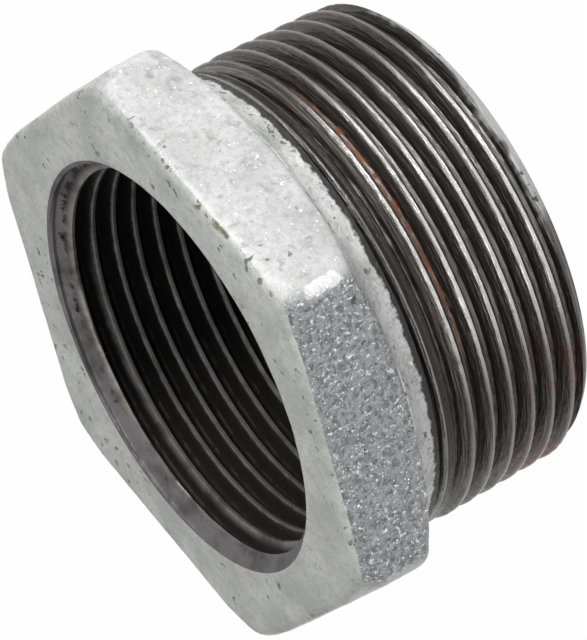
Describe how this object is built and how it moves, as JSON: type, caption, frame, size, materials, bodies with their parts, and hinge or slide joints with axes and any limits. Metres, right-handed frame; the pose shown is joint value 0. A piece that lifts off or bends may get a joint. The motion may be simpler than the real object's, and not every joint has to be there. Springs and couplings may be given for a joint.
{
  "type": "hex bushing",
  "caption": "Hexagonal reducing bushing for steel pipe, with a male taper thread on a cast hex head and a female thread through it.",
  "frame": {"origin": "centre of the thread's end face, at the bottom of the box", "axes": "+Z along the bore axis from the thread's end to the hexagon's face; two hexagon corners lie on the Y axis"},
  "size_m": [0.0536, 0.0612, 0.031],
  "materials": {
    "galvanised_iron": "hot-dip galvanised casting with bare, oiled cut threads"
  },
  "bodies": {
    "root": {"hex_bushing": "galvanised_iron"}
  },
  "joints": []
}
